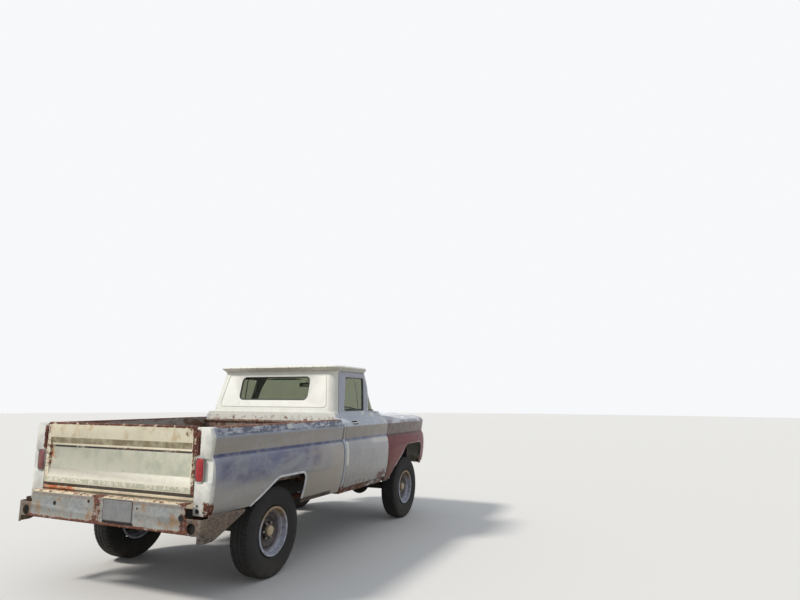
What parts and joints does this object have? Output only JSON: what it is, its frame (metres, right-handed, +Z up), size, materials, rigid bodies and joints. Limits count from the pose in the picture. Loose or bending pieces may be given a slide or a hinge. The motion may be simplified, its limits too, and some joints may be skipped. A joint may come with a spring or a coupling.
{
  "type": "pickup truck",
  "caption": "Short wide-bed four-wheel-drive pickup truck with slab sides, wraparound windshield, opening doors, hood and tailgate, steering and free-rolling wheels.",
  "frame": {"origin": "on the ground below the middle of the truck's length", "axes": "+Y ahead, +X to the truck's right, +Z up"},
  "size_m": [2, 4.8, 1.932],
  "materials": {
    "body_paint": "faded off-white paint, dusty and chipped",
    "cab_paint": "dirty off-white paint",
    "fender_paint": "dull maroon paint",
    "left_fender_paint": "faded white paint",
    "hood_paint": "white paint with grey-blue patches",
    "tailgate_paint": "cream paint with rust at the seams",
    "bed_inner_paint": "worn grey paint with rust",
    "bumper_paint": "blue-grey paint over rust",
    "chassis_black": "dull black with dirt",
    "engine_paint": "greasy dark grey",
    "wheel_paint": "white wheel paint, dusty",
    "tyre": "dusty black tread rubber",
    "window_glass": "greenish clear glass",
    "lamp_glass": "clear lens over a bright bowl",
    "tail_lens": "red lens, faded",
    "bright_metal": "dull bright metal",
    "dark_bumper": "black painted steel",
    "seat_cover": "brown vinyl and cloth bench cover",
    "cabin_trim": "grey cabin paint",
    "wheel_black": "black moulded rim"
  },
  "bodies": {
    "chassis": {"frame_rails": "chassis_black", "rear_axle": "chassis_black", "front_axle": "chassis_black", "rear_springs": "chassis_black", "front_springs": "chassis_black", "gearbox": "engine_paint", "driveshafts": "chassis_black", "exhaust": "chassis_black", "engine_block": "engine_paint", "radiator": "chassis_black", "cab_floor": "cabin_trim", "cab_back": "cab_paint", "cab_cowl": "cab_paint", "cab_roof": "cab_paint", "windshield": "window_glass", "rear_glass": "window_glass", "dashboard": "cabin_trim", "seat": "seat_cover", "steering_column": "wheel_black", "fender_left": "left_fender_paint", "fender_right": "fender_paint", "grille": "bright_metal", "headlamps": "lamp_glass", "front_bumper": "dark_bumper", "bed_floor": "bed_inner_paint", "bed_front": "bed_inner_paint", "wheelhouses": "bed_inner_paint", "bed_side_left": "body_paint", "bed_side_right": "body_paint", "tail_lamps": "tail_lens", "rear_bumper": "bumper_paint"},
    "hood": {"hood": "hood_paint"},
    "door_left": {"door_left": "body_paint", "door_glass_left": "window_glass"},
    "door_right": {"door_right": "body_paint", "door_glass_right": "window_glass"},
    "tailgate": {"tailgate": "tailgate_paint"},
    "knuckle_left": {"knuckle_left": "chassis_black"},
    "knuckle_right": {"knuckle_right": "chassis_black"},
    "tie_rod": {"tie_rod": "chassis_black"},
    "wheel_rear_left": {"tyre_rear_left": "tyre", "rim_rear_left": "wheel_paint"},
    "wheel_rear_right": {"tyre_rear_right": "tyre", "rim_rear_right": "wheel_paint"},
    "wheel_front_left": {"tyre_front_left": "tyre", "rim_front_left": "wheel_paint"},
    "wheel_front_right": {"tyre_front_right": "tyre", "rim_front_right": "wheel_paint"}
  },
  "joints": [
    {"name": "hood_hinge", "type": "hinge", "parent": "chassis", "child": "hood", "pos_m": [0, 1.12, 1.354], "axis": [1, 0, 0], "range_deg": [0, 48]},
    {"name": "door_left_hinge", "type": "hinge", "parent": "chassis", "child": "door_left", "pos_m": [-0.99, 0.762, 1], "axis": [0, 0, -1], "range_deg": [0, 65]},
    {"name": "door_right_hinge", "type": "hinge", "parent": "chassis", "child": "door_right", "pos_m": [0.99, 0.762, 1], "axis": [0, 0, 1], "range_deg": [0, 65]},
    {"name": "tailgate_hinge", "type": "hinge", "parent": "chassis", "child": "tailgate", "pos_m": [0, -2.3, 0.815], "axis": [1, 0, 0], "range_deg": [0, 90]},
    {"name": "steer_right", "type": "hinge", "parent": "chassis", "child": "knuckle_right", "pos_m": [0.675, 1.561, 0.385], "axis": [0, 0, 1], "range_deg": [-28, 28]},
    {"name": "steer_left", "type": "hinge", "parent": "chassis", "child": "knuckle_left", "pos_m": [-0.675, 1.561, 0.385], "axis": [0, 0, 1], "range_deg": [-28, 28]},
    {"name": "tie_rod_pivot", "type": "hinge", "parent": "knuckle_right", "child": "tie_rod", "pos_m": [0.675, 1.751, 0.32], "axis": [0, 0, 1], "range_deg": [-28, 28]},
    {"name": "spin_rear_left", "type": "hinge", "parent": "chassis", "child": "wheel_rear_left", "pos_m": [-0.795, -1.36, 0.385], "axis": [-1, 0, 0], "continuous": true},
    {"name": "spin_rear_right", "type": "hinge", "parent": "chassis", "child": "wheel_rear_right", "pos_m": [0.795, -1.36, 0.385], "axis": [-1, 0, 0], "continuous": true},
    {"name": "spin_front_left", "type": "hinge", "parent": "knuckle_left", "child": "wheel_front_left", "pos_m": [-0.795, 1.561, 0.385], "axis": [-1, 0, 0], "continuous": true},
    {"name": "spin_front_right", "type": "hinge", "parent": "knuckle_right", "child": "wheel_front_right", "pos_m": [0.795, 1.561, 0.385], "axis": [-1, 0, 0], "continuous": true}
  ],
  "couplings": [
    {"joint": "steer_left", "follows": "steer_right", "ratio": 1},
    {"joint": "tie_rod_pivot", "follows": "steer_right", "ratio": -1}
  ]
}
